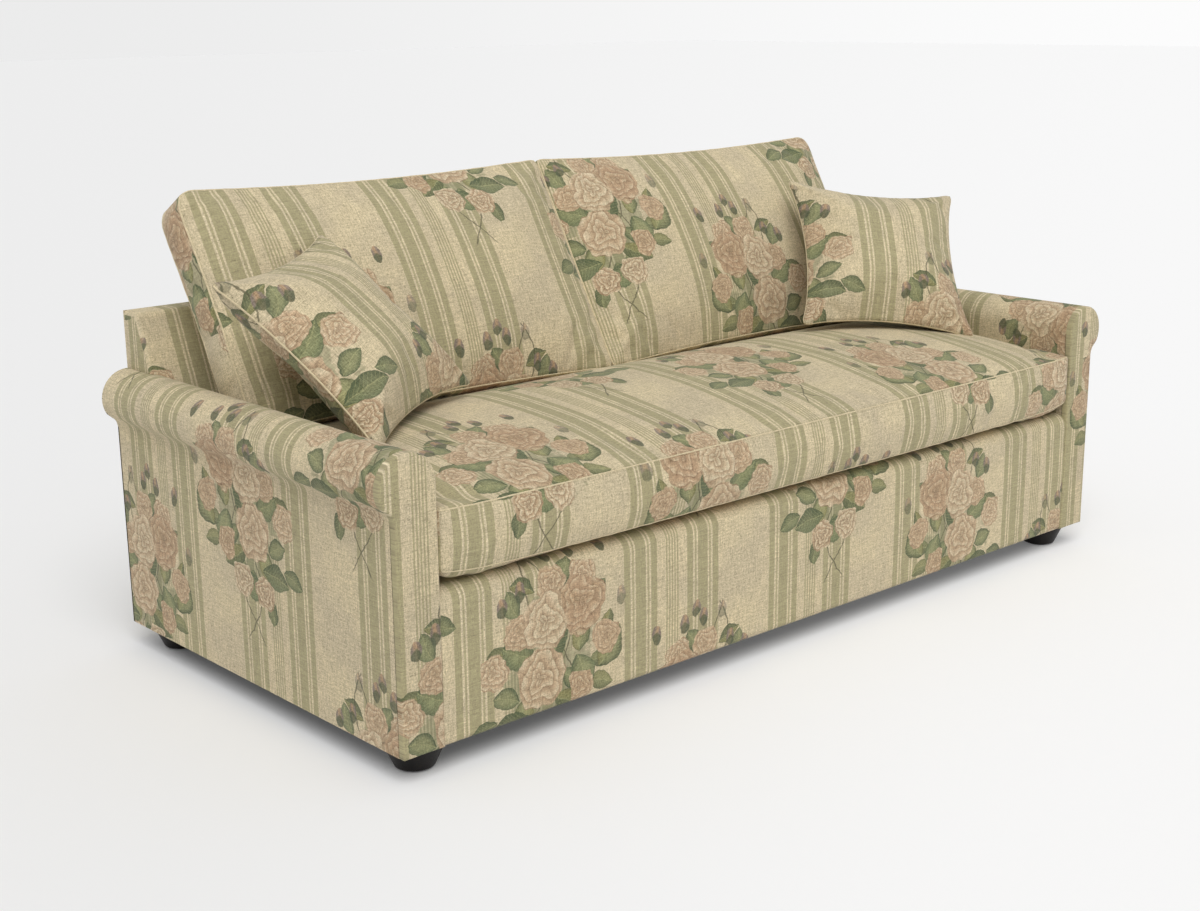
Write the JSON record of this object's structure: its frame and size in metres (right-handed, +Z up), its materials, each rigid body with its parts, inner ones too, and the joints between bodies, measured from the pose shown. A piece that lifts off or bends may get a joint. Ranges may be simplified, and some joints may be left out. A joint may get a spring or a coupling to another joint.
{
  "type": "three-seater sofa",
  "caption": "Wide sofa with scroll arms, a bench seat cushion, loose back cushions, scatter cushions and short turned feet, in striped linen.",
  "frame": {"origin": "on the floor under the middle of the sofa", "axes": "+X along the seat to a sitter's left, +Y to the back, +Z up"},
  "size_m": [2.038, 0.952, 0.9255],
  "materials": {
    "striped_linen": "slubbed linen weave with sage stripes and soft flower sprays",
    "platform_cloth": "plain linen",
    "black_cloth": "thin felted cloth",
    "webbing": "woven elastic webbing",
    "fibre": "fibre and feather filling in plain cotton",
    "foam": "upholstery foam",
    "zip": "nylon coil zip",
    "nylon": "moulded nylon",
    "steel": "zinc plated",
    "dark_wood": "near-black satin lacquer on turned beech",
    "hardwood": "planed beech",
    "plywood": "birch plywood",
    "fibreboard": "thin fibreboard"
  },
  "bodies": {
    "frame": {"arm_cover_left": "striped_linen", "arm_cover_right": "striped_linen", "arm_front_board_left": "plywood", "arm_front_board_right": "plywood", "arm_front_facing_left": "striped_linen", "arm_front_facing_right": "striped_linen", "arm_lower_rail_left": "hardwood", "arm_lower_rail_right": "hardwood", "arm_padding_left": "fibre", "arm_padding_right": "fibre", "arm_rear_board_left": "plywood", "arm_rear_board_right": "plywood", "arm_roll_rail_left": "hardwood", "arm_roll_rail_right": "hardwood", "back_rail": "hardwood", "back_top_rail": "hardwood", "back_upright_centre": "hardwood", "back_upright_left": "hardwood", "back_upright_right": "hardwood", "back_webbing": "webbing", "centre_support": "hardwood", "corner_blocks": "hardwood", "dust_cover": "black_cloth", "feet": "dark_wood", "foot_bolts": "steel", "foot_glides": "nylon", "foot_nuts": "steel", "front_border_cover": "striped_linen", "front_rail": "hardwood", "inside_back_cover": "striped_linen", "inside_back_padding": "fibre", "outside_arm_board_left": "fibreboard", "outside_arm_board_right": "fibreboard", "outside_back_cover": "striped_linen", "platform_cover": "platform_cloth", "seat_springs": "steel", "side_rail_left": "hardwood", "side_rail_right": "hardwood", "spring_clips": "steel", "spring_pad": "fibre", "spring_rail": "hardwood"},
    "seat_cushion": {"seat_cushion_cover": "striped_linen", "seat_cushion_core": "foam", "seat_cushion_zip": "zip"},
    "back_cushion_left": {"back_cushion_left_cover": "striped_linen", "back_cushion_left_pad": "fibre", "back_cushion_left_zip": "zip"},
    "scatter_cushion_left": {"scatter_cushion_left_cover": "striped_linen", "scatter_cushion_left_pad": "fibre"},
    "back_cushion_right": {"back_cushion_right_cover": "striped_linen", "back_cushion_right_pad": "fibre", "back_cushion_right_zip": "zip"},
    "scatter_cushion_right": {"scatter_cushion_right_cover": "striped_linen", "scatter_cushion_right_pad": "fibre"}
  },
  "joints": [
    {"name": "seat_cushion_lift", "type": "slide", "parent": "frame", "child": "seat_cushion", "axis": [0, 0, 1], "range_m": [0, 0.3]},
    {"name": "back_cushion_left_lift", "type": "slide", "parent": "seat_cushion", "child": "back_cushion_left", "axis": [0, 0, 1], "range_m": [0, 0.3]},
    {"name": "scatter_cushion_left_lift", "type": "slide", "parent": "back_cushion_left", "child": "scatter_cushion_left", "axis": [0, 0, 1], "range_m": [0, 0.3]},
    {"name": "back_cushion_right_lift", "type": "slide", "parent": "seat_cushion", "child": "back_cushion_right", "axis": [0, 0, 1], "range_m": [0, 0.3]},
    {"name": "scatter_cushion_right_lift", "type": "slide", "parent": "back_cushion_right", "child": "scatter_cushion_right", "axis": [0, 0, 1], "range_m": [0, 0.3]}
  ]
}
